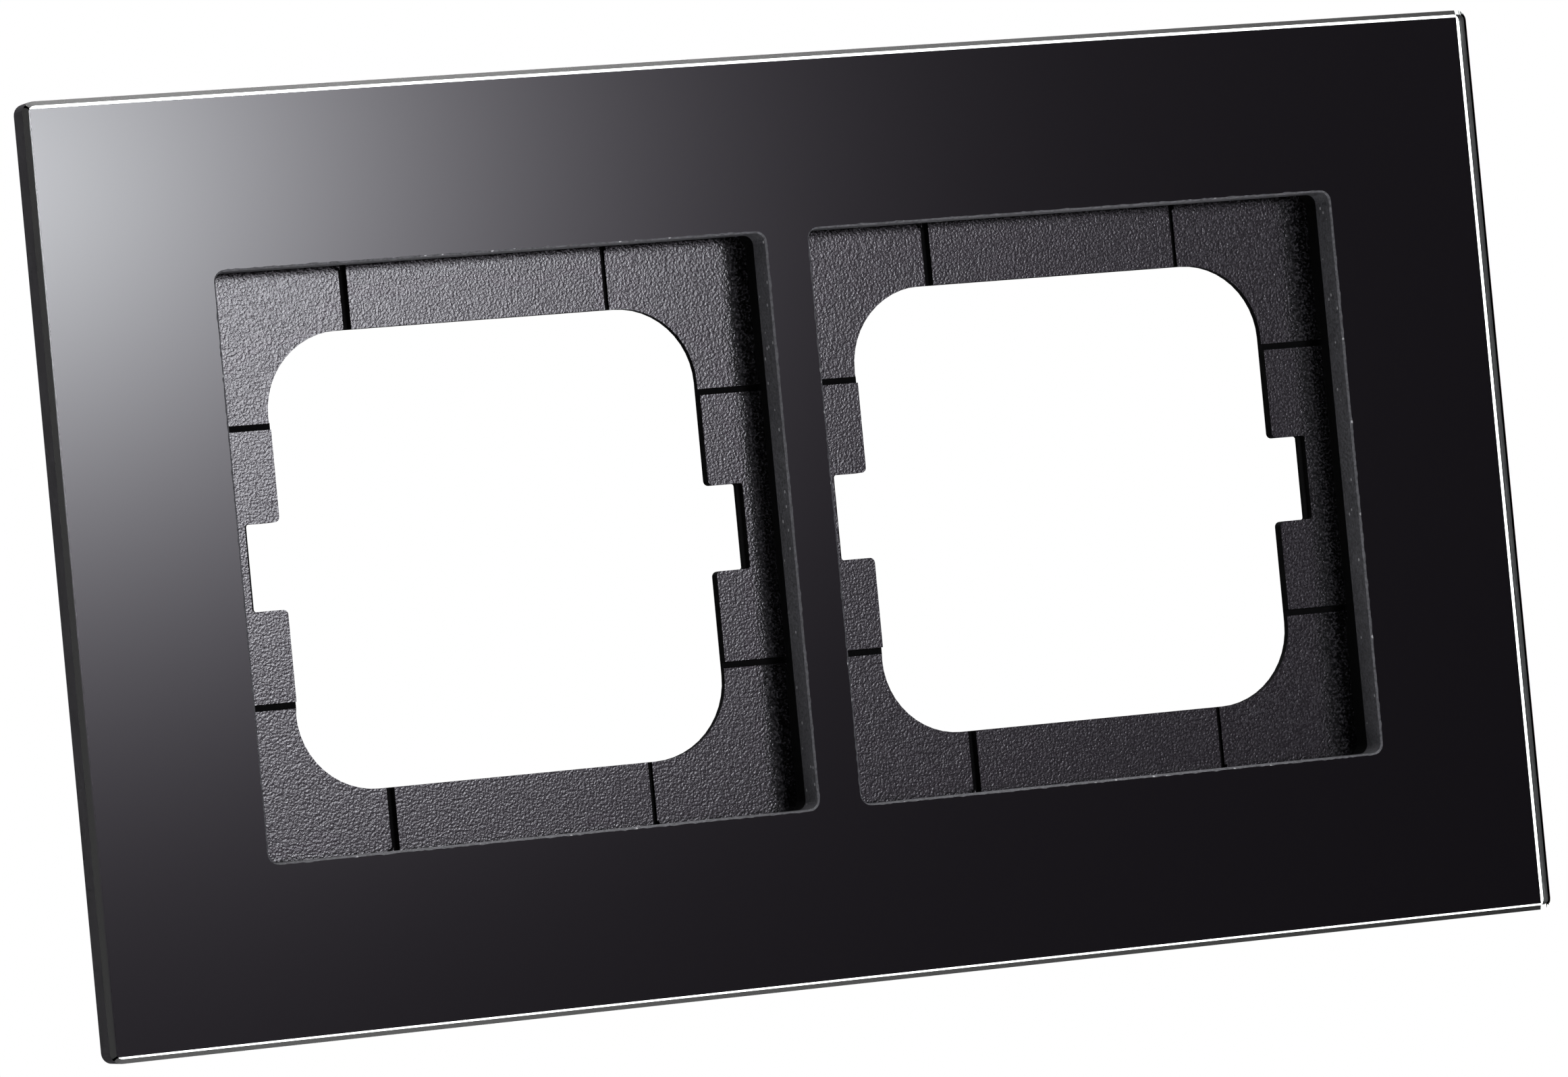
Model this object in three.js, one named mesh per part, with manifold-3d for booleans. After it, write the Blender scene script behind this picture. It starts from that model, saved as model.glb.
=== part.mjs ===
// Two-gang glass cover frame for flush-mounted switches and sockets.
// Millimetres. X runs along the row of gangs, Z is up and -Y faces the room.
// The origin is the middle of the rear plane, where the frame bears on the wall.
import * as THREE from 'three';
import { mergeVertices } from 'three/addons/utils/BufferGeometryUtils.js';
import Module from 'manifold-3d';

const wasm = await Module();
wasm.setup();

// Layout shared by every layer
const GANGS = 2;
const GANG_PITCH = 71;
const PLATE_HEIGHT = 106;
const PLATE_WIDTH = PLATE_HEIGHT + GANG_PITCH;
const FRAME_DEPTH = 10;

// Glass plate
const GLASS_THICKNESS = 4;
const FRONT_ARRIS = 0.55;
const REAR_ARRIS = 0.12;
const REAR_ARRIS_REACH = 2;
const PLATE_CORNER_RADIUS = 1.25;
const CUTOUT_SIZE = 65.6;
const CUTOUT_CORNER_RADIUS = 1.1;
const CUTOUT_ARRIS = 0.2;

// Lacquer on the back of the glass
const LACQUER_THICKNESS = 0.125;
const LACQUER_MARGIN = 0.5;
const LACQUER_CUTOUT_MARGIN = 0.5;

// Bonding tape
const TAPE_THICKNESS = 0.5;
const TAPE_WIDTH = 8;
const TAPE_END_GAP = 6;
const CENTRE_TAPE_WIDTH = 3;
const SIDE_TAPE_LENGTH = 62;

// Moulded carrier
const CARRIER_INSET = 2.5;
const CARRIER_CORNER_RADIUS = 2.5;
const DECK_THICKNESS = 1.8;
const RIM_THICKNESS = 1.8;
const WELL_SIZE = 66.4;
const WELL_CORNER_RADIUS = 1.8;
const WELL_WALL = 1.5;
const RIB_THICKNESS = 1.2;
const RIB_SETBACK = 1;
const CENTRE_RIB_LENGTH = 8;

// Seat at the bottom of each well, as depths below the glass face
const SEAT_MIDDLE_DEPTH = 6.7;
const SEAT_CORNER_DEPTH = 7.3;
const GROOVE_BOTTOM_DEPTH = 7.8;
const SEAT_REAR_DEPTH = 8.3;
const NOTCH_LEDGE_THICKNESS = 0.6;
const GROOVE_WIDTH = 0.75;
const GROOVE_OFFSET = 15.6;

// Window through each seat
const WINDOW_SIZE = 51.5;
const WINDOW_CORNER_RADIUS = 9;
const NOTCH_HEIGHT = 9.8;
const NOTCH_SPAN = 59.8;
const NOTCH_LEDGE = 0.5;
const NOTCH_OUTER_RADIUS = 0.6;
const NOTCH_INNER_RADIUS = 0.3;

const LARGE_ARC_STEPS = 6;
const SMALL_ARC_STEPS = 3;
const CUT_OVERRUN = 1;

// Planes along Y, from the room to the wall
const GLASS_FRONT = -FRAME_DEPTH;
const GLASS_REAR = GLASS_FRONT + GLASS_THICKNESS;
const LACQUER_REAR = GLASS_REAR + LACQUER_THICKNESS;
const DECK_FRONT = LACQUER_REAR + TAPE_THICKNESS;
const DECK_REAR = DECK_FRONT + DECK_THICKNESS;
const SEAT_MIDDLE = GLASS_FRONT + SEAT_MIDDLE_DEPTH;
const SEAT_CORNER = GLASS_FRONT + SEAT_CORNER_DEPTH;
const GROOVE_BOTTOM = GLASS_FRONT + GROOVE_BOTTOM_DEPTH;
const SEAT_REAR = GLASS_FRONT + SEAT_REAR_DEPTH;
const WALL_PLANE = 0;

const CARRIER_WIDTH = PLATE_WIDTH - 2 * CARRIER_INSET;
const CARRIER_HEIGHT = PLATE_HEIGHT - 2 * CARRIER_INSET;
const gangCentres = Array.from({ length: GANGS }, (_, i) => (i - (GANGS - 1) / 2) * GANG_PITCH);

// A closed outline through corner points [x, z, radius], each corner rounded by an arc.
function filletedLoop(target, corners) {
  const count = corners.length;
  corners.forEach(([x, z, radius], i) => {
    const corner = new THREE.Vector2(x, z);
    const before = new THREE.Vector2(...corners[(i + count - 1) % count]).sub(corner).normalize();
    const after = new THREE.Vector2(...corners[(i + 1) % count]).sub(corner).normalize();
    const halfAngle = Math.acos(THREE.MathUtils.clamp(before.dot(after), -1, 1)) / 2;
    const start = corner.clone().addScaledVector(before, radius / Math.tan(halfAngle));
    const middle = before.clone().add(after).normalize();
    const centre = corner.clone().addScaledVector(middle, radius / Math.sin(halfAngle));
    const end = corner.clone().addScaledVector(after, radius / Math.tan(halfAngle));
    const startAngle = Math.atan2(start.y - centre.y, start.x - centre.x);
    const endAngle = Math.atan2(end.y - centre.y, end.x - centre.x);
    if (i === 0) target.moveTo(start.x, start.y);
    else target.lineTo(start.x, start.y);
    target.absarc(centre.x, centre.y, radius, startAngle, endAngle, before.cross(after) > 0);
  });
  target.closePath();
  return target;
}

function rectangleCorners(width, height, radius, centreX = 0, centreZ = 0) {
  const signs = [[1, -1], [1, 1], [-1, 1], [-1, -1]];
  return signs.map(([sx, sz]) => [centreX + (sx * width) / 2, centreZ + (sz * height) / 2, radius]);
}

// Corner points of a seat window: a rounded square with a notch in its left and right sides.
function windowCorners(centreX, notchSpan) {
  const side = WINDOW_SIZE / 2;
  const notchX = notchSpan / 2;
  const notchZ = NOTCH_HEIGHT / 2;
  const quarter = [
    [side, notchZ, NOTCH_OUTER_RADIUS],
    [side, side, WINDOW_CORNER_RADIUS],
  ];
  const notch = [notchX, notchZ, NOTCH_INNER_RADIUS];
  const right = [notch, ...quarter];
  const mirrorX = ([x, z, r]) => [-x, z, r];
  const mirrorZ = ([x, z, r]) => [x, -z, r];
  const upper = [...right, ...right.map(mirrorX).reverse()];
  const lower = upper.map(mirrorZ).reverse();
  return [...upper, ...lower].map(([x, z, r]) => [centreX + x, z, r]);
}

// A plate drawn in X and Z that fills Y from its front plane to its rear plane.
function plate(outline, front, rear, options = {}) {
  const { arris = 0, steps = SMALL_ARC_STEPS } = options;
  const geometry = new THREE.ExtrudeGeometry(outline, {
    depth: rear - front - 2 * arris,
    curveSegments: steps,
    bevelEnabled: arris > 0,
    bevelThickness: arris,
    bevelSize: arris,
    bevelOffset: -arris,
    bevelSegments: 1,
  });
  geometry.rotateX(Math.PI / 2);
  geometry.translate(0, rear - arris, 0);
  return geometry;
}

function slab(width, height, radius, front, rear, centreX = 0, centreZ = 0) {
  const outline = filletedLoop(new THREE.Shape(), rectangleCorners(width, height, radius, centreX, centreZ));
  return plate(outline, front, rear);
}

function block(x0, x1, y0, y1, z0, z1) {
  const geometry = new THREE.BoxGeometry(x1 - x0, y1 - y0, z1 - z0);
  geometry.translate((x0 + x1) / 2, (y0 + y1) / 2, (z0 + z1) / 2);
  return geometry;
}

function toSolid(source) {
  const geometry = source.clone();
  geometry.deleteAttribute('normal');
  geometry.deleteAttribute('uv');
  const merged = mergeVertices(geometry);
  const vertProperties = new Float32Array(merged.attributes.position.array);
  const triVerts = new Uint32Array(merged.index.array);
  return new wasm.Manifold(new wasm.Mesh({ numProp: 3, vertProperties, triVerts }));
}

function toGeometry(solid) {
  const mesh = solid.getMesh();
  const geometry = new THREE.BufferGeometry();
  geometry.setAttribute('position', new THREE.BufferAttribute(mesh.vertProperties, mesh.numProp));
  geometry.setIndex(new THREE.BufferAttribute(mesh.triVerts, 1));
  const flat = geometry.toNonIndexed();
  flat.computeVertexNormals();
  return flat;
}

const joined = (geometries) => geometries.map(toSolid).reduce((sum, next) => sum.add(next));

function frameOutline(width, height, radius, holeSize, holeRadius) {
  const outline = filletedLoop(new THREE.Shape(), rectangleCorners(width, height, radius));
  gangCentres.forEach((x) => {
    outline.holes.push(filletedLoop(new THREE.Path(), rectangleCorners(holeSize, holeSize, holeRadius, x)));
  });
  return outline;
}

// A square hole through the glass, flared by the arris at its front and rear edges.
function cutoutCutter(x) {
  const through = [GLASS_FRONT - CUT_OVERRUN, GLASS_REAR + CUT_OVERRUN];
  const flaredSize = CUTOUT_SIZE + 2 * CUTOUT_ARRIS;
  const flaredRadius = CUTOUT_CORNER_RADIUS + CUTOUT_ARRIS;
  const flare = (front, rear) => plate(
    filletedLoop(new THREE.Shape(), rectangleCorners(flaredSize, flaredSize, flaredRadius, x)),
    front, rear, { arris: CUTOUT_ARRIS },
  );
  return [
    slab(CUTOUT_SIZE, CUTOUT_SIZE, CUTOUT_CORNER_RADIUS, ...through, x),
    flare(GLASS_FRONT - 2 * CUTOUT_ARRIS, GLASS_FRONT + CUTOUT_ARRIS),
    flare(GLASS_REAR - CUTOUT_ARRIS, GLASS_REAR + 2 * CUTOUT_ARRIS),
  ];
}

// Clear glass, arrissed at 45 degrees all round, less at the back than in front.
function glassPlate() {
  const outline = filletedLoop(
    new THREE.Shape(), rectangleCorners(PLATE_WIDTH, PLATE_HEIGHT, PLATE_CORNER_RADIUS),
  );
  const pane = joined([
    plate(outline, GLASS_FRONT, GLASS_REAR, { arris: FRONT_ARRIS }),
    plate(outline, GLASS_REAR - REAR_ARRIS_REACH, GLASS_REAR, { arris: REAR_ARRIS }),
  ]);
  return toGeometry(pane.subtract(joined(gangCentres.flatMap(cutoutCutter))));
}

// The coat stops short of the glass edges, which leaves a thin clear margin all round.
function backLacquer() {
  const outline = frameOutline(
    PLATE_WIDTH - 2 * LACQUER_MARGIN, PLATE_HEIGHT - 2 * LACQUER_MARGIN, PLATE_CORNER_RADIUS,
    CUTOUT_SIZE + 2 * LACQUER_CUTOUT_MARGIN, CUTOUT_CORNER_RADIUS,
  );
  return plate(outline, GLASS_REAR, LACQUER_REAR);
}

// Five strips: along each side of the carrier and down the web between the two wells.
function tapeStrips() {
  const wellEdgeX = gangCentres[GANGS - 1] + WELL_SIZE / 2;
  const sideX = (wellEdgeX + CARRIER_WIDTH / 2) / 2;
  const sideZ = (WELL_SIZE / 2 + CARRIER_HEIGHT / 2) / 2;
  const longLength = CARRIER_WIDTH - 2 * TAPE_END_GAP;
  const strip = (width, height, x, z) => block(
    x - width / 2, x + width / 2, LACQUER_REAR, DECK_FRONT, z - height / 2, z + height / 2,
  );
  return {
    tape_strip_top: strip(longLength, TAPE_WIDTH, 0, sideZ),
    tape_strip_bottom: strip(longLength, TAPE_WIDTH, 0, -sideZ),
    tape_strip_left: strip(TAPE_WIDTH, SIDE_TAPE_LENGTH, -sideX, 0),
    tape_strip_right: strip(TAPE_WIDTH, SIDE_TAPE_LENGTH, sideX, 0),
    tape_strip_centre: strip(CENTRE_TAPE_WIDTH, SIDE_TAPE_LENGTH, 0, 0),
  };
}

// The box section behind the deck: outer rim, a wall round each well, and stiffening ribs.
function carrierShell() {
  const deck = slab(CARRIER_WIDTH, CARRIER_HEIGHT, CARRIER_CORNER_RADIUS, DECK_FRONT, WALL_PLANE);
  const core = slab(
    CARRIER_WIDTH - 2 * RIM_THICKNESS, CARRIER_HEIGHT - 2 * RIM_THICKNESS,
    CARRIER_CORNER_RADIUS - RIM_THICKNESS, DECK_REAR, WALL_PLANE + CUT_OVERRUN,
  );
  const wallSize = WELL_SIZE + 2 * WELL_WALL;
  const wellBlocks = gangCentres.map((x) => (
    slab(wallSize, wallSize, WELL_CORNER_RADIUS + WELL_WALL, DECK_FRONT, WALL_PLANE, x)
  ));
  return toSolid(deck).subtract(toSolid(core)).add(joined([...wellBlocks, ...ribs()]));
}

function ribs() {
  const halfWidth = CARRIER_WIDTH / 2 - RIM_THICKNESS / 2;
  const halfHeight = CARRIER_HEIGHT / 2 - RIM_THICKNESS / 2;
  const half = RIB_THICKNESS / 2;
  const rear = WALL_PLANE - RIB_SETBACK;
  const front = DECK_REAR - DECK_THICKNESS / 2;
  const wall = WELL_SIZE / 2 + WELL_WALL / 2;
  const upright = (x, side) => {
    const span = [side * wall, side * halfHeight].sort((a, b) => a - b);
    return block(x - half, x + half, front, rear, ...span);
  };
  const level = (z, side) => {
    const span = [side * (gangCentres[GANGS - 1] + wall), side * halfWidth].sort((a, b) => a - b);
    return block(...span, front, rear, z - half, z + half);
  };
  const across = gangCentres.flatMap((x) => [-GROOVE_OFFSET, GROOVE_OFFSET].map((offset) => x + offset));
  const centreHalf = CENTRE_RIB_LENGTH / 2;
  return [
    ...across.flatMap((x) => [upright(x, 1), upright(x, -1)]),
    ...[-GROOVE_OFFSET, GROOVE_OFFSET].flatMap((z) => [level(z, 1), level(z, -1)]),
    block(-WELL_WALL, WELL_WALL, front, WALL_PLANE, -centreHalf, centreHalf),
  ];
}

// Everything that one well takes out of the carrier, down to its seat and through its window.
function wellCuts(x) {
  const half = WELL_SIZE / 2;
  const groove = GROOVE_WIDTH / 2;
  const wellFront = DECK_FRONT - CUT_OVERRUN;
  const recess = slab(WELL_SIZE, WELL_SIZE, WELL_CORNER_RADIUS, wellFront, SEAT_MIDDLE, x);
  const underside = slab(
    WELL_SIZE, WELL_SIZE, WELL_CORNER_RADIUS, SEAT_REAR, WALL_PLANE + CUT_OVERRUN, x,
  );
  const quadrants = [[-1, -1], [-1, 1], [1, -1], [1, 1]].map(([sx, sz]) => {
    const size = half - GROOVE_OFFSET;
    return slab(
      size, size, WELL_CORNER_RADIUS, wellFront, SEAT_CORNER,
      x + sx * (GROOVE_OFFSET + size / 2), sz * (GROOVE_OFFSET + size / 2),
    );
  });
  const grooves = [-GROOVE_OFFSET, GROOVE_OFFSET].flatMap((offset) => [
    block(x + offset - groove, x + offset + groove, wellFront, GROOVE_BOTTOM, -half, half),
    block(x - half, x + half, wellFront, GROOVE_BOTTOM, offset - groove, offset + groove),
  ]);
  return joined([recess, underside, ...quadrants, ...grooves, ...windowCuts(x)]);
}

// The notches are narrower at the back, where a thin ledge is left along their ends.
function windowCuts(x) {
  const ledgeFront = SEAT_REAR - NOTCH_LEDGE_THICKNESS;
  const wide = filletedLoop(new THREE.Shape(), windowCorners(x, NOTCH_SPAN));
  const narrow = filletedLoop(new THREE.Shape(), windowCorners(x, NOTCH_SPAN - 2 * NOTCH_LEDGE));
  return [
    plate(wide, DECK_FRONT, ledgeFront, { steps: LARGE_ARC_STEPS }),
    plate(narrow, DECK_FRONT, WALL_PLANE + CUT_OVERRUN, { steps: LARGE_ARC_STEPS }),
  ];
}

function carrierFrame() {
  const cuts = gangCentres.map(wellCuts).reduce((sum, next) => sum.add(next));
  return toGeometry(carrierShell().subtract(cuts));
}

const object = new THREE.Group();

function addNode(name, geometry, color, roughness) {
  const material = new THREE.MeshStandardMaterial({ color, roughness, metalness: 0 });
  const mesh = new THREE.Mesh(geometry, material);
  mesh.name = name;
  object.add(mesh);
}

addNode('glass_plate', glassPlate(), 0x15151a, 0.05);
addNode('back_lacquer', backLacquer(), 0x050507, 0.3);
Object.entries(tapeStrips()).forEach(([name, geometry]) => addNode(name, geometry, 0x1c1c1c, 0.9));
addNode('carrier_frame', carrierFrame(), 0x2c2c30, 0.6);

export default object;
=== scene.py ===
"""Looks of a two-gang glass cover frame: a back-lacquered glass plate taped to a moulded carrier.

Everything is in metres in the row frame: X width, +Z up, the glass faces -Y, the wall is Y = 0.
"""

import math
import random

import bmesh
import bpy
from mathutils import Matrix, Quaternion, Vector


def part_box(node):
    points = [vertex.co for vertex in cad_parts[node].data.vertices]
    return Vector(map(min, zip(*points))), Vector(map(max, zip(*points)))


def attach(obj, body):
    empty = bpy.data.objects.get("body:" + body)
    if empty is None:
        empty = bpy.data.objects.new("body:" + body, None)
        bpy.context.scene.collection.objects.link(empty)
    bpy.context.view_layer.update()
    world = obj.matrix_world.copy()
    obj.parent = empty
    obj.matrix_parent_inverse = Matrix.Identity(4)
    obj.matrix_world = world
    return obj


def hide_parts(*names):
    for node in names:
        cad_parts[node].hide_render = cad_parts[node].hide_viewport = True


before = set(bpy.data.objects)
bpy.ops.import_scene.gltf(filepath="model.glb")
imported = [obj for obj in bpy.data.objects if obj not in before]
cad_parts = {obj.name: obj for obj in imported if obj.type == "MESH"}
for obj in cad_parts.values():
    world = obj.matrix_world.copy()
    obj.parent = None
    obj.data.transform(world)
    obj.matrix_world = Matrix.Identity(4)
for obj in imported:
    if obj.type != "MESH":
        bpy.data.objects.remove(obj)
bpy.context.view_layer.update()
MM = 0.001

# Camera
CAMERA_PLACE = Vector((-0.36045, -0.89678, -0.01927))
CAMERA_AIM = Vector((-0.003846, -0.010, -0.001968))
CAMERA_ROLL = math.radians(5.404)
CAMERA_LENS = 193.87
SENSOR_WIDTH = 36.0
CLIP_NEAR = 0.01
CLIP_FAR = 100.0

# Diffuser that the glass face mirrors: a bright spot (glow) on a faint, sloping haze
PANEL_DISTANCE = 2.4
PANEL_LOW = Vector((-0.4, -0.9))
PANEL_HIGH = Vector((2.4, 1.0))
GLOW_CENTRE = Vector((0.605, 0.220))
GLOW_SPREAD = Vector((0.171, 0.130))
GLOW_POWER = 1.514
GLOW_PEAK = 13.95
GLOW_COLOUR = (0.974, 0.988, 1.038)
GLOW_LOG = 2.46
HAZE_LEVEL = 0.212
HAZE_SLOPE = Vector((-1.526, 0.818))
HAZE_CENTRE = 1.0
HAZE_COLOUR = (1.018, 0.877, 1.105)
HAZE_LOG = -2.1

# White panels that the edges mirror, which dim from level to level * RAMP_FALL over RAMP along X
SIDE_PANEL_DISTANCE = 2.0
SIDE_PANEL_REACH = 1.6
RAMP = (0.62, 1.14)
RAMP_FALL = 0.12
OVERHEAD_LEVEL = 4.1
UNDERNEATH_LEVEL = 1.8
LEFT_LEVEL = 0.85

# Round soft lights: place, diameter, watts
LIGHTS = {
    "key": (Vector((0.36, -2.5, 0.14)), 0.36, 36.0),
    "fill": (Vector((-1.9, -1.1, 0.2)), 0.8, 2.5),
    "rear": (Vector((0.0, 2.6, 0.3)), 3.0, 60.0),
    "top": (Vector((0.0, 0.9, 2.2)), 2.5, 95.0),
}

# Floor
FLOOR_LEVEL = -0.40
FLOOR_RADIUS = 3.0
FLOOR_SIDES = 96

# Glass plate, with the clear ring inside each outer edge given by the edge's direction (x, z)
CLEAR_RING = {(1, 0): 1.8 * MM, (-1, 0): 0.7 * MM, (0, 1): 0.9 * MM, (0, -1): 0.75 * MM}
CUTOUT_CENTRE = 35.5 * MM
CUTOUT_HALF = 33.0 * MM
CUTOUT_MARGIN = 0.03 * MM
AROUND_CUTOUT = CUTOUT_HALF + MM
CHIP_SPACING = 0.45 * MM
CHIP_DEPTH = 0.10 * MM
CHIP_SKEW = 3
CHIP_SEED = 11

# Lacquer film
LACQUER_SHIFT = 0.2 * MM
LACQUER_TRIM = 0.15 * MM
LACQUER_CORNER = 1.3 * MM
LACQUER_SINK = 0.02 * MM

# Carrier: groove floors lie behind BEHIND_PADS, and the pads in front of it
WELL_HALF = 33.2 * MM
WINDOW_HALF = 25.75 * MM
GROOVE_FLOOR = -2.2 * MM
BEHIND_PADS = -2.5 * MM
FLASH = 0.25 * MM
EDGE_ROUND = 0.12 * MM
EDGE_SEGMENTS = 2
EDGE_ANGLE = math.radians(40)

# Tolerances, and the share of a unit normal that makes a face flat or upright
MERGE = 1e-6
NEAR = 0.02 * MM
FLAT = math.radians(0.5)
FACING = 0.99
UPRIGHT = 0.3

# Material slots of the two pieces that have several
POLISHED, LACQUERED, GROUND, WALLS = range(4)
# The carrier's middle slot holds painted shade for its walls, groove floors and rounded edges
GRAINED, PAINTED_SHADE, BACK = range(3)

# Base colours, darkest first where a material has a pair
GLASS_TINT = (0.93, 0.97, 0.95, 1)
DEEP_BLACK = (0.0012, 0.0011, 0.0014)
DUST_GREY = (0.05, 0.05, 0.05)
GROUND_GREYS = ((0.030, 0.030, 0.034), (0.120, 0.120, 0.134))
CHIP_WHITE = (0.40, 0.40, 0.42)
WALL_GREYS = ((0.030, 0.029, 0.032), (0.080, 0.077, 0.084))
WALL_STREAK = (0.03, 0.03, 0.032)
ENAMEL_BLACKS = ((0.0010, 0.0010, 0.0012), (0.0030, 0.0030, 0.0034))
FOAM_BLACKS = ((0.008, 0.008, 0.008), (0.030, 0.030, 0.031))
# Pad grain from near black to grey: partly the grain's own tone, partly painted glints
PAD_GRAIN_AND_GLINT_TONES = ((0.0010, 0.0010, 0.0012), (0.0440, 0.0426, 0.0482))
PAD_CLOUD = (0.0070, 0.0067, 0.0078)
# Painted shade: near black for the carrier's well walls, groove floors and rounded edges, darker than
# its pads
PAINTED_SHADE_BLACKS = ((0.0022, 0.0022, 0.0024), (0.0050, 0.0050, 0.0053))
BACK_BLACKS = ((0.018, 0.018, 0.020), (0.034, 0.034, 0.037))
FLOOR_WHITES = ((0.80, 0.80, 0.80), (0.84, 0.84, 0.84))

# Refractive indices, lower where the gloss is weak, and one specular level
GLASS_IOR = 1.52
WALL_IOR = 1.3
PAD_IOR = 1.8
PAINTED_SHADE_IOR = 1.3
PAINTED_SHADE_SPECULAR = 0.1
BACK_IOR = 1.5

# The stretch of a noise's values that is spread over a whole range: the narrower, the harder
SOFT = (0.3, 0.7)
FIRM = (0.35, 0.65)
PATCHY = (0.45, 0.8)
STREAKY = (0.35, 0.7)
# For the pads' grain colour, partly grain tone and partly painted glints
GRAIN_AND_GLINT = (0.45, 0.72)
PITTED = (0.0, 0.8)

# How much of a streak's or a cloud's own colour shows, from none
STREAK_SHARE = (0.0, 0.4)
CLOUD_SHARE = (0.0, 0.15)

# Roughness at the low and the high end of that stretch
POLISH = (0.0, 0.03)
GROUND_ROUGH = (0.50, 0.65)
WALL_ROUGH = (0.3, 0.45)
ENAMEL_ROUGH = (0.5, 0.7)
FOAM_ROUGH = (0.8, 1.0)
PAD_ROUGH = (0.13, 0.09)
PAINTED_SHADE_ROUGH = (0.5, 0.65)
BACK_ROUGH = (0.42, 0.52)
FLOOR_ROUGH = (0.6, 0.7)

# Sockets of a Mix node in its colour mode, whose names are shared with its other modes
MIX_A, MIX_B = 6, 7
MIX_RESULT = 2


class Shader:
    """A node material under construction: a Principled node and short calls that add to it."""

    def __init__(self, name):
        self.material = bpy.data.materials.new(name)
        self.material.use_nodes = True
        self.nodes = self.material.node_tree.nodes
        self.links = self.material.node_tree.links
        self.nodes.clear()
        self.output = self.nodes.new("ShaderNodeOutputMaterial")
        self.bsdf = self.nodes.new("ShaderNodeBsdfPrincipled")
        self.link(self.bsdf.outputs[0], self.output.inputs[0])
        self.place = self.nodes.new("ShaderNodeTexCoord").outputs["Object"]

    def link(self, source, socket):
        self.links.new(source, socket)

    def set(self, **values):
        """Fixed values on the Principled node, with _ for each space in a socket's name."""
        for key, value in values.items():
            self.bsdf.inputs[key.replace("_", " ")].default_value = value

    def feed(self, **sources):
        """Links into the Principled node, named in the same way."""
        for key, source in sources.items():
            self.link(source, self.bsdf.inputs[key.replace("_", " ")])

    def noise(self, scale, detail=2.0, roughness=0.5):
        """Noise with features of 1/scale metres."""
        node = self.nodes.new("ShaderNodeTexNoise")
        node.inputs["Scale"].default_value = scale
        node.inputs["Detail"].default_value = detail
        node.inputs["Roughness"].default_value = roughness
        self.link(self.place, node.inputs["Vector"])
        return node.outputs["Fac"]

    def cells(self, scale):
        """Voronoi cells: the distance to the nearest point, and that point's random colour."""
        node = self.nodes.new("ShaderNodeTexVoronoi")
        node.inputs["Scale"].default_value = scale
        self.link(self.place, node.inputs["Vector"])
        return node.outputs["Distance"], node.outputs["Color"]

    def maths(self, operation, a, b):
        """A Math node on two numbers or sockets."""
        node = self.nodes.new("ShaderNodeMath")
        node.operation = operation
        for socket, value in zip(node.inputs, (a, b)):
            if isinstance(value, (int, float)):
                socket.default_value = value
            else:
                self.link(value, socket)
        return node.outputs[0]

    def exponential(self, power):
        return self.maths("POWER", math.e, power)

    def specks(self, scale, size, rarity):
        """1 in round specks at the middle of some cells, 0 elsewhere. More rarity gives fewer."""
        distance, colour = self.cells(scale)
        speck = self.maths("LESS_THAN", distance, size)
        chosen = self.maths("GREATER_THAN", colour, rarity)
        return self.maths("MULTIPLY", speck, chosen)

    def spread(self, source, taken, given=(0.0, 1.0)):
        """source stretched from the range taken to the range given, and held at its ends."""
        node = self.nodes.new("ShaderNodeMapRange")
        self.link(source, node.inputs["Value"])
        for key, value in zip(("From Min", "From Max", "To Min", "To Max"), (*taken, *given)):
            node.inputs[key].default_value = value
        return node.outputs[0]

    def blend(self, factor, a, b):
        """Colour a where factor is 0, and b where it is 1."""
        node = self.nodes.new("ShaderNodeMix")
        node.data_type = "RGBA"
        self.link(factor, node.inputs["Factor"])
        for index, value in ((MIX_A, a), (MIX_B, b)):
            if isinstance(value, tuple):
                node.inputs[index].default_value = (*value, 1.0)
            else:
                self.link(value, node.inputs[index])
        return node.outputs[MIX_RESULT]

    def bump(self, height, distance, strength, under=None):
        """A normal from a height of at most distance, on top of another normal if one is given."""
        node = self.nodes.new("ShaderNodeBump")
        node.inputs["Distance"].default_value = distance
        node.inputs["Strength"].default_value = strength
        self.link(height, node.inputs["Height"])
        if under is not None:
            self.link(under, node.inputs["Normal"])
        return node.outputs[0]


def clear_glass():
    """Polished float glass, with a trace of handling on the surface."""
    s = Shader("clear_glass")
    s.set(Base_Color=GLASS_TINT, Transmission_Weight=1.0, IOR=GLASS_IOR)
    handling = s.noise(scale=180.0, detail=3.0)
    s.feed(Roughness=s.spread(handling, PATCHY, POLISH))
    return s.material


def lacquered_glass():
    """Polished glass over black lacquer: a deep black face that mirrors the studio."""
    s = Shader("lacquered_glass")
    s.set(IOR=GLASS_IOR)
    dust = s.specks(scale=420.0, size=0.035, rarity=0.90)
    handling = s.noise(scale=90.0, detail=4.0)
    s.feed(
        Base_Color=s.blend(dust, DEEP_BLACK, DUST_GREY),
        Roughness=s.spread(handling, PATCHY, POLISH),
    )
    return s.material


def ground_glass():
    """The machine-ground walls of the cut-outs: frosted grey, with bright chipped specks."""
    s = Shader("ground_glass")
    s.set(IOR=GLASS_IOR)
    grain = s.noise(scale=3200.0, detail=4.0, roughness=0.7)
    chip = s.specks(scale=1500.0, size=0.28, rarity=0.80)
    grey = s.blend(s.spread(grain, FIRM), *GROUND_GREYS)
    s.feed(
        Base_Color=s.blend(chip, grey, CHIP_WHITE),
        Roughness=s.spread(grain, SOFT, GROUND_ROUGH),
        Normal=s.bump(grain, distance=0.05 * MM, strength=0.8),
    )
    return s.material


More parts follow.
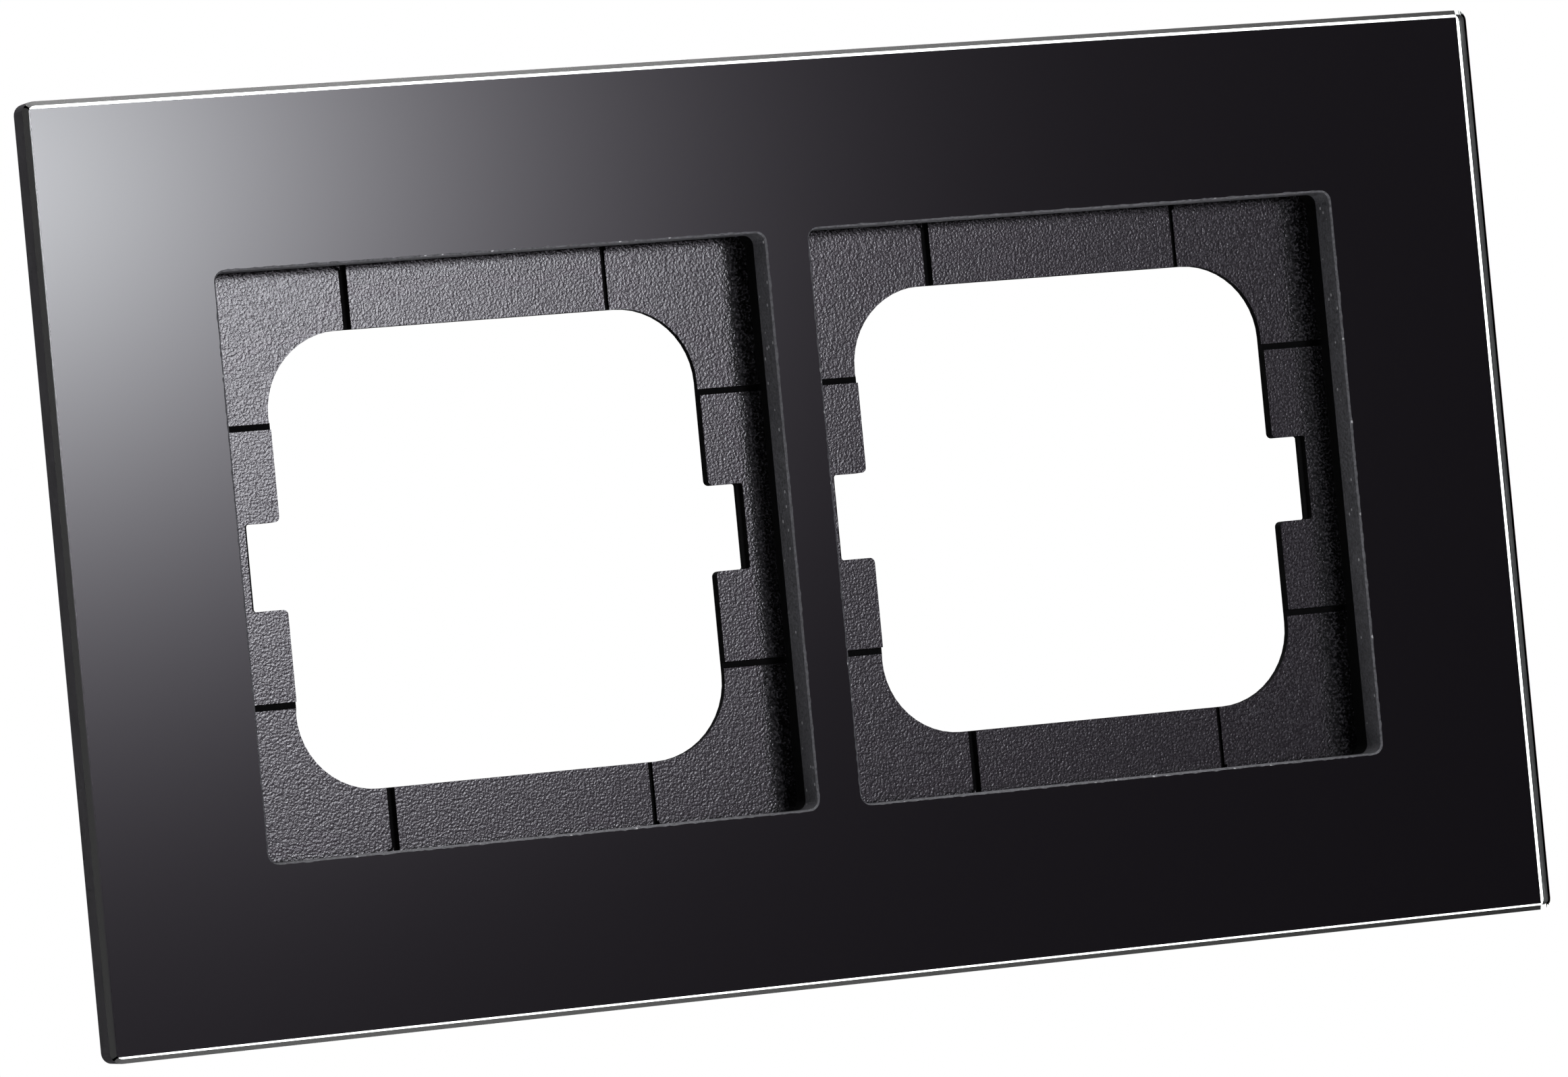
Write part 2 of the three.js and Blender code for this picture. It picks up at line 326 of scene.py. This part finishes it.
def ground_edge():
    """The outer walls of the plate: finely ground and dull, a little purple in the grey."""
    s = Shader("ground_edge")
    s.set(IOR=WALL_IOR)
    grain = s.noise(scale=2600.0, detail=4.0, roughness=0.6)
    streak = s.noise(scale=240.0, detail=3.0)
    grey = s.blend(s.spread(grain, SOFT), *WALL_GREYS)
    s.feed(
        Base_Color=s.blend(s.spread(streak, STREAKY, STREAK_SHARE), grey, WALL_STREAK),
        Roughness=s.spread(grain, SOFT, WALL_ROUGH),
        Normal=s.bump(grain, distance=0.02 * MM, strength=0.6),
    )
    return s.material


def black_lacquer():
    """Screen-printed black enamel, matt on its back."""
    s = Shader("black_lacquer")
    s.set(Specular_IOR_Level=0.0)
    mottle = s.noise(scale=700.0, detail=3.0)
    s.feed(
        Base_Color=s.blend(mottle, *ENAMEL_BLACKS),
        Roughness=s.spread(mottle, SOFT, ENAMEL_ROUGH),
        Normal=s.bump(s.noise(scale=2500.0), distance=0.01 * MM, strength=0.5),
    )
    return s.material


def foam_tape():
    """Black foam with a pitted look at its cut sides."""
    s = Shader("foam_tape")
    distance, _ = s.cells(scale=2600.0)
    s.feed(
        Base_Color=s.blend(distance, *FOAM_BLACKS),
        Roughness=s.spread(distance, PITTED, FOAM_ROUGH),
        Normal=s.bump(distance, distance=0.12 * MM, strength=0.9),
    )
    return s.material


def moulded_carrier():
    """Anthracite moulded plastic with a fine spark-eroded grain that glints; the grain also spreads its
    colour from near black to grey, partly grain tone and partly painted glints.
    """
    s = Shader("moulded_carrier")
    s.set(IOR=PAD_IOR)
    grain = s.noise(scale=3600.0, detail=2.0, roughness=0.5)
    cloud = s.noise(scale=60.0, detail=3.0)
    # Painted glints: the grain spreads the pads' colour from near black to grey, partly grain tone
    grain_and_glint_tone = s.blend(s.spread(grain, GRAIN_AND_GLINT), *PAD_GRAIN_AND_GLINT_TONES)
    swell = s.bump(cloud, distance=0.05 * MM, strength=0.3)
    s.feed(
        Base_Color=s.blend(s.spread(cloud, SOFT, CLOUD_SHARE), grain_and_glint_tone, PAD_CLOUD),
        Roughness=s.spread(grain, FIRM, PAD_ROUGH),
        Normal=s.bump(grain, distance=0.024 * MM, strength=1.0, under=swell),
    )
    return s.material


def carrier_in_painted_shade():
    """Painted shade on the walls, groove floors and rounded edges of the same moulding: near black,
    darker than the pads, and barely glossy.
    """
    s = Shader("carrier_in_painted_shade")
    s.set(IOR=PAINTED_SHADE_IOR, Specular_IOR_Level=PAINTED_SHADE_SPECULAR)
    ripple = s.noise(scale=900.0, detail=3.0)
    s.feed(
        Base_Color=s.blend(ripple, *PAINTED_SHADE_BLACKS),
        Roughness=s.spread(ripple, SOFT, PAINTED_SHADE_ROUGH),
        Normal=s.bump(ripple, distance=0.01 * MM, strength=0.4),
    )
    return s.material


def carrier_back():
    """The hidden rear and rim of the moulding, in a plain satin finish."""
    s = Shader("carrier_back")
    s.set(IOR=BACK_IOR)
    grain = s.noise(scale=1500.0, detail=3.0, roughness=0.6)
    s.feed(
        Base_Color=s.blend(s.spread(grain, FIRM), *BACK_BLACKS),
        Roughness=s.spread(grain, FIRM, BACK_ROUGH),
        Normal=s.bump(grain, distance=0.02 * MM, strength=0.6),
    )
    return s.material


def pale_floor():
    """A smooth, nearly white floor."""
    s = Shader("pale_floor")
    mottle = s.noise(scale=3.0, detail=3.0)
    s.feed(
        Base_Color=s.blend(mottle, *FLOOR_WHITES),
        Roughness=s.spread(mottle, SOFT, FLOOR_ROUGH),
    )
    return s.material


class Light(Shader):
    """A light-giving material, for the studio only."""

    def __init__(self, name):
        super().__init__(name)
        self.nodes.remove(self.bsdf)
        self.emission = self.nodes.new("ShaderNodeEmission")
        self.link(self.emission.outputs[0], self.output.inputs[0])
        split = self.nodes.new("ShaderNodeSeparateXYZ")
        self.link(self.place, split.inputs[0])
        self.x, _, self.z = split.outputs


def ramp_material(name, level):
    """White, and dimmer towards the right."""
    s = Light(name)
    strength = s.spread(s.x, RAMP, (level, level * RAMP_FALL))
    s.link(strength, s.emission.inputs["Strength"])
    return s.material


def soft_panel_material():
    """A diffuser with a bright soft spot at its upper left that falls away to a faint purplish haze."""
    s = Light("soft_panel")
    across = s.maths("DIVIDE", s.maths("SUBTRACT", s.x, GLOW_CENTRE.x), GLOW_SPREAD.x)
    up = s.maths("DIVIDE", s.maths("SUBTRACT", s.z, GLOW_CENTRE.y), GLOW_SPREAD.y)
    squared = s.maths("ADD", s.maths("MULTIPLY", across, across), s.maths("MULTIPLY", up, up))
    fall = s.maths("POWER", squared, GLOW_POWER / 2)
    spot = s.maths("MULTIPLY", s.exponential(s.maths("MULTIPLY", fall, -1.0)), GLOW_PEAK)
    slope_x = s.maths("MULTIPLY", s.maths("SUBTRACT", s.x, HAZE_CENTRE), HAZE_SLOPE.x)
    slope_z = s.maths("MULTIPLY", s.z, HAZE_SLOPE.y)
    haze = s.maths("MULTIPLY", s.exponential(s.maths("ADD", slope_x, slope_z)), HAZE_LEVEL)
    total = s.maths("ADD", spot, haze)
    dimness = s.spread(s.maths("LOGARITHM", total, math.e), (GLOW_LOG, HAZE_LOG))
    s.link(s.blend(dimness, GLOW_COLOUR, HAZE_COLOUR), s.emission.inputs["Color"])
    s.link(total, s.emission.inputs["Strength"])
    return s.material


def clean_copy(node):
    """A bmesh of a CAD node with its corners joined and its flat faces whole."""
    mesh = bmesh.new()
    mesh.from_mesh(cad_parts[node].data)
    bmesh.ops.remove_doubles(mesh, verts=mesh.verts, dist=MERGE)
    bmesh.ops.dissolve_limit(mesh, angle_limit=FLAT, verts=mesh.verts, edges=mesh.edges)
    bmesh.ops.recalc_face_normals(mesh, faces=mesh.faces)
    return mesh


def add_object(name, data):
    """A new object in the scene."""
    thing = bpy.data.objects.new(name, data)
    bpy.context.scene.collection.objects.link(thing)
    return thing


def as_piece(mesh, name, node, materials):
    """An object made from a bmesh, standing for a CAD node."""
    data = bpy.data.meshes.new(name)
    mesh.to_mesh(data)
    mesh.free()
    piece = add_object(name, data)
    for material in materials:
        data.materials.append(material)
    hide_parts(node)
    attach(piece, "root")
    return piece


def slice_mesh(mesh, place, normal):
    """New edges where a plane crosses the mesh."""
    whole = mesh.verts[:] + mesh.edges[:] + mesh.faces[:]
    bmesh.ops.bisect_plane(mesh, geom=whole, dist=MERGE, plane_co=place, plane_no=normal)


def in_cutout_zone(x, z, reach):
    """Whether a point is in one of the two squares with this half side, centred on the cut-outs."""
    return abs(z) < reach and abs(abs(x) - CUTOUT_CENTRE) < reach


def is_cutout_edge(edge, front):
    """Whether an edge is long, in the front plane, and where the face meets a cut-out's arris."""
    in_place = all(
        abs(vert.co.y - front) < MERGE and in_cutout_zone(vert.co.x, vert.co.z, AROUND_CUTOUT)
        for vert in edge.verts
    )
    is_long = edge.calc_length() > 2 * CHIP_SPACING
    return in_place and is_long and any(abs(face.normal.y) < FACING for face in edge.link_faces)


def chip_edges(mesh, front):
    """The ground front edges of the cut-outs become slightly ragged."""
    random.seed(CHIP_SEED)
    edges = [edge for edge in mesh.edges if is_cutout_edge(edge, front)]
    for edge in edges:
        cuts = int(edge.calc_length() / CHIP_SPACING)
        made = bmesh.ops.subdivide_edges(mesh, edges=[edge], cuts=cuts)
        for vert in (item for item in made["geom_inner"] if isinstance(item, bmesh.types.BMVert)):
            across = vert.co.x - math.copysign(CUTOUT_CENTRE, vert.co.x)
            if abs(across) > abs(vert.co.z):
                away = Vector((across, 0, 0))
            else:
                away = Vector((0, 0, vert.co.z))
            vert.co += away.normalized() * random.random() ** CHIP_SKEW * CHIP_DEPTH


def inside_ring(point, high):
    """Whether a point of the face is further in than the clear ring on all four sides."""
    return all(
        x * point.x < high.x - ring if x else z * point.z < high.z - ring
        for (x, z), ring in CLEAR_RING.items()
    )


def glass_plate(polished, lacquered, ground, walls):
    """The plate with its face parted at the clear ring, and each zone in its own finish."""
    low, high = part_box("glass_plate")
    mesh = clean_copy("glass_plate")
    for (x, z), ring in CLEAR_RING.items():
        slice_mesh(mesh, (x * (high.x - ring), 0, z * (high.z - ring)), (x, 0, z))
    for face in mesh.faces:
        middle = face.calc_center_bounds()
        if face.normal.y < -FACING and inside_ring(middle, high):
            face.material_index = LACQUERED
        elif abs(face.normal.y) < FACING and in_cutout_zone(
            middle.x, middle.z, CUTOUT_HALF + CUTOUT_MARGIN
        ):
            face.material_index = GROUND
        elif abs(face.normal.y) < UPRIGHT:
            face.material_index = WALLS
        else:
            face.material_index = POLISHED
    chip_edges(mesh, low.y)
    piece = as_piece(mesh, "glass_plate_finished", "glass_plate", (polished, lacquered, ground, walls))


def lacquer_film(material):
    """The print sits a hair inside the glass, so that no gap shows, and slightly to the right.

    Its corners are square, and it stops a little further from the top and bottom edges.
    """
    mesh = clean_copy("back_lacquer")
    low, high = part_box("back_lacquer")
    for vert in mesh.verts:
        if abs(vert.co.y - low.y) < MERGE:
            vert.co.y -= LACQUER_SINK
        if in_cutout_zone(vert.co.x, vert.co.z, AROUND_CUTOUT):
            continue
        right = math.copysign(1, vert.co.x)
        up = math.copysign(1, vert.co.z)
        if high.x - abs(vert.co.x) < LACQUER_CORNER and high.z - abs(vert.co.z) < LACQUER_CORNER:
            vert.co.x = right * high.x
            vert.co.z = up * high.z
        vert.co.x += LACQUER_SHIFT
        vert.co.z -= up * LACQUER_TRIM
    bmesh.ops.remove_doubles(mesh, verts=mesh.verts, dist=MERGE)
    piece = as_piece(mesh, "back_lacquer_film", "back_lacquer", (material,))


def leave_flash(mesh):
    """A lip of moulding flash where each horizontal groove runs out into the left side of a window."""
    for vert in mesh.verts:
        for centre in (-CUTOUT_CENTRE, CUTOUT_CENTRE):
            at_window = abs(vert.co.x - (centre - WINDOW_HALF)) < NEAR
            if at_window and abs(vert.co.y - GROOVE_FLOOR) < NEAR:
                vert.co.x += FLASH


def carrier(grained, painted_shade, back):
    """The moulded carrier with its edges slightly rounded, grained on the pads only, and painted shade
    on its walls, groove floors and rounded edges.
    """
    mesh = clean_copy("carrier_frame")
    for face in mesh.faces:
        middle = face.calc_center_bounds()
        in_well = in_cutout_zone(middle.x, middle.z, WELL_HALF + MERGE)
        in_groove = face.normal.y < -FACING and middle.y > BEHIND_PADS
        if face.normal.y > UPRIGHT or not in_well:
            face.material_index = BACK
        # Walls and groove floors get the near-black painted shade
        elif in_groove or face.normal.y > -UPRIGHT:
            face.material_index = PAINTED_SHADE
        else:
            face.material_index = GRAINED
    leave_flash(mesh)
    piece = as_piece(mesh, "carrier_moulded", "carrier_frame", (grained, painted_shade, back))
    rounding = piece.modifiers.new("rounded_edges", "BEVEL")
    rounding.width = EDGE_ROUND
    rounding.segments = EDGE_SEGMENTS
    rounding.limit_method = "ANGLE"
    rounding.angle_limit = EDGE_ANGLE
    rounding.use_clamp_overlap = True
    rounding.harden_normals = False
    # The rounded edges get the near-black painted shade too, which outlines them in dark
    rounding.material = PAINTED_SHADE


def tapes(material):
    """The tape strips are the CAD's own, in foam."""
    for name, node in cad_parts.items():
        if name.startswith("tape_strip"):
            node.data.materials.clear()
            node.data.materials.append(material)


def area_light(name, place, size, watts):
    """A round soft light that points at the object, and shows in no mirrored or glossy surface."""
    data = bpy.data.lights.new(name, "AREA")
    data.shape = "DISK"
    data.size = size
    data.energy = watts
    light = add_object(name, data)
    light.location = place
    light.rotation_mode = "QUATERNION"
    light.rotation_quaternion = (-place).to_track_quat("-Z", "Y")
    light.visible_camera = False
    light.visible_glossy = False


def mirrored_panel(name, corners, material):
    """A glowing sheet that shows in mirrored and glossy surfaces only."""
    data = bpy.data.meshes.new(name)
    data.from_pydata(corners, [], [(0, 1, 2, 3)])
    data.materials.append(material)
    panel = add_object(name, data)
    panel.visible_camera = False
    panel.visible_diffuse = False
    panel.visible_transmission = False
    panel.visible_shadow = False


def soft_panel():
    """The diffuser that the glass face mirrors."""
    y = -PANEL_DISTANCE
    corners = [
        (PANEL_LOW.x, y, PANEL_LOW.y),
        (PANEL_HIGH.x, y, PANEL_LOW.y),
        (PANEL_HIGH.x, y, PANEL_HIGH.y),
        (PANEL_LOW.x, y, PANEL_HIGH.y),
    ]
    mirrored_panel("soft_panel", corners, soft_panel_material())


def side_panels():
    """White panels above, below and to the left of the object, which only its edges mirror."""
    near, far = SIDE_PANEL_DISTANCE, SIDE_PANEL_REACH
    level = [(-far, -far), (far, -far), (far, far), (-far, far)]
    upright = [(-far, -far), (0.0, -far), (0.0, far), (-far, far)]
    overhead = ramp_material("overhead_panel", OVERHEAD_LEVEL)
    underneath = ramp_material("underneath_panel", UNDERNEATH_LEVEL)
    left = ramp_material("left_panel", LEFT_LEVEL)
    mirrored_panel("overhead_panel", [(x, y, near) for x, y in level], overhead)
    mirrored_panel("underneath_panel", [(x, y, -near) for x, y in level], underneath)
    mirrored_panel("left_panel", [(-near, y, z) for y, z in upright], left)


def floor():
    """A round pale floor, well below the object."""
    mesh = bmesh.new()
    bmesh.ops.create_circle(mesh, cap_ends=True, segments=FLOOR_SIDES, radius=FLOOR_RADIUS)
    data = bpy.data.meshes.new("floor")
    mesh.to_mesh(data)
    mesh.free()
    data.materials.append(pale_floor())
    plane = add_object("floor", data)
    plane.location.z = FLOOR_LEVEL
    plane.visible_glossy = False


def white_world():
    """A white surround that the camera and clear glass see, but that lights nothing."""
    world = bpy.data.worlds.new("studio")
    bpy.context.scene.world = world
    world.use_nodes = True
    background = world.node_tree.nodes["Background"]
    background.inputs["Color"].default_value = (1, 1, 1, 1)
    background.inputs["Strength"].default_value = 1.0
    world.cycles_visibility.diffuse = False
    world.cycles_visibility.glossy = False


def studio():
    """Surround, panels, floor and lights."""
    white_world()
    side_panels()
    soft_panel()
    floor()
    for name, (place, size, watts) in LIGHTS.items():
        area_light(name, place, size, watts)


def set_camera():
    """The camera at the photograph's viewing angle, with its roll."""
    data = bpy.data.cameras.new("camera")
    data.lens = CAMERA_LENS
    data.sensor_width = SENSOR_WIDTH
    data.clip_start = CLIP_NEAR
    data.clip_end = CLIP_FAR
    view = add_object("camera", data)
    view.location = CAMERA_PLACE
    view.rotation_mode = "QUATERNION"
    level = (CAMERA_AIM - CAMERA_PLACE).to_track_quat("-Z", "Y")
    view.rotation_quaternion = level @ Quaternion((0, 0, 1), -CAMERA_ROLL)
    bpy.context.scene.camera = view


set_camera()
studio()
glass_plate(clear_glass(), lacquered_glass(), ground_glass(), ground_edge())
lacquer_film(black_lacquer())
carrier(moulded_carrier(), carrier_in_painted_shade(), carrier_back())
tapes(foam_tape())
bpy.context.scene.view_settings.view_transform = "Standard"
